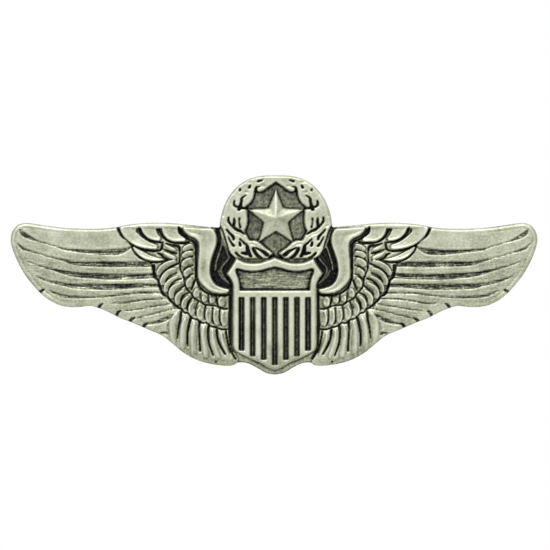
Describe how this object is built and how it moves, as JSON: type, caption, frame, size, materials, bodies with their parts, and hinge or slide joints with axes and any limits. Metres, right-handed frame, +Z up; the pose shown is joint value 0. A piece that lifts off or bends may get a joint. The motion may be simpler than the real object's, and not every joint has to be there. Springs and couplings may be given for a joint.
{
  "type": "pilot wings pin",
  "caption": "Cast wings badge with a striped shield and a star in a laurel wreath, held by nails and sprung butterfly clutches.",
  "frame": {"origin": "centre of the badge's flat back face, midway between the wing tips, level with the wearer's cloth", "axes": "+X along the span, +Z up as worn, the face looks along -Y and the nails and clutches point along +Y"},
  "size_m": [0.07, 0.0114, 0.0265],
  "materials": {
    "antique_silver": "antique silver plate, dark in the recesses and polished on the high spots",
    "nail_brass": "drawn brass wire, nickel plated and slightly dull",
    "clutch_nickel": "pressed brass, nickel plated",
    "clutch_brass": "pressed brass, bare and bright",
    "clutch_spring": "spring brass strip, bare and bright"
  },
  "bodies": {
    "badge": {"struck_badge": "antique_silver", "post_left": "nail_brass", "post_centre": "nail_brass", "post_right": "nail_brass"},
    "clutch_left_base": {"clutch_left_plate": "clutch_nickel"},
    "clutch_left_cap": {"clutch_left_frame": "clutch_brass", "clutch_left_dome": "clutch_brass"},
    "clutch_left_jaw_a": {"clutch_left_wing_a": "clutch_spring"},
    "clutch_left_jaw_b": {"clutch_left_wing_b": "clutch_spring"},
    "clutch_centre_base": {"clutch_centre_plate": "clutch_nickel"},
    "clutch_centre_cap": {"clutch_centre_frame": "clutch_brass", "clutch_centre_dome": "clutch_brass"},
    "clutch_centre_jaw_a": {"clutch_centre_wing_a": "clutch_spring"},
    "clutch_centre_jaw_b": {"clutch_centre_wing_b": "clutch_spring"},
    "clutch_right_base": {"clutch_right_plate": "clutch_nickel"},
    "clutch_right_cap": {"clutch_right_frame": "clutch_brass", "clutch_right_dome": "clutch_brass"},
    "clutch_right_jaw_a": {"clutch_right_wing_a": "clutch_spring"},
    "clutch_right_jaw_b": {"clutch_right_wing_b": "clutch_spring"}
  },
  "joints": [
    {"name": "clutch_left_slide", "type": "slide", "parent": "badge", "child": "clutch_left_base", "axis": [0, 1, 0], "range_m": [0, 0.014]},
    {"name": "clutch_left_swivel", "type": "hinge", "parent": "clutch_left_base", "child": "clutch_left_cap", "pos_m": [-0.019, 0.003, 0.0007], "axis": [0, 1, 0], "continuous": true},
    {"name": "clutch_left_squeeze_a", "type": "slide", "parent": "clutch_left_cap", "child": "clutch_left_jaw_a", "axis": [1, 0, 0], "range_m": [0, 0.0005], "stiffness_N_per_m": 2000, "springref_m": -0.0004},
    {"name": "clutch_left_squeeze_b", "type": "slide", "parent": "clutch_left_cap", "child": "clutch_left_jaw_b", "axis": [-1, 0, 0], "range_m": [0, 0.0005], "stiffness_N_per_m": 2000, "springref_m": -0.0004},
    {"name": "clutch_centre_slide", "type": "slide", "parent": "badge", "child": "clutch_centre_base", "axis": [0, 1, 0], "range_m": [0, 0.014]},
    {"name": "clutch_centre_swivel", "type": "hinge", "parent": "clutch_centre_base", "child": "clutch_centre_cap", "pos_m": [0, 0.003, -0.004], "axis": [0, 1, 0], "continuous": true},
    {"name": "clutch_centre_squeeze_a", "type": "slide", "parent": "clutch_centre_cap", "child": "clutch_centre_jaw_a", "axis": [1, 0, 0], "range_m": [0, 0.0005], "stiffness_N_per_m": 2000, "springref_m": -0.0004},
    {"name": "clutch_centre_squeeze_b", "type": "slide", "parent": "clutch_centre_cap", "child": "clutch_centre_jaw_b", "axis": [-1, 0, 0], "range_m": [0, 0.0005], "stiffness_N_per_m": 2000, "springref_m": -0.0004},
    {"name": "clutch_right_slide", "type": "slide", "parent": "badge", "child": "clutch_right_base", "axis": [0, 1, 0], "range_m": [0, 0.014]},
    {"name": "clutch_right_swivel", "type": "hinge", "parent": "clutch_right_base", "child": "clutch_right_cap", "pos_m": [0.019, 0.003, 0.0007], "axis": [0, 1, 0], "continuous": true},
    {"name": "clutch_right_squeeze_a", "type": "slide", "parent": "clutch_right_cap", "child": "clutch_right_jaw_a", "axis": [1, 0, 0], "range_m": [0, 0.0005], "stiffness_N_per_m": 2000, "springref_m": -0.0004},
    {"name": "clutch_right_squeeze_b", "type": "slide", "parent": "clutch_right_cap", "child": "clutch_right_jaw_b", "axis": [-1, 0, 0], "range_m": [0, 0.0005], "stiffness_N_per_m": 2000, "springref_m": -0.0004}
  ],
  "couplings": [
    {"joint": "clutch_left_squeeze_b", "follows": "clutch_left_squeeze_a", "ratio": 1},
    {"joint": "clutch_centre_squeeze_b", "follows": "clutch_centre_squeeze_a", "ratio": 1},
    {"joint": "clutch_right_squeeze_b", "follows": "clutch_right_squeeze_a", "ratio": 1}
  ]
}
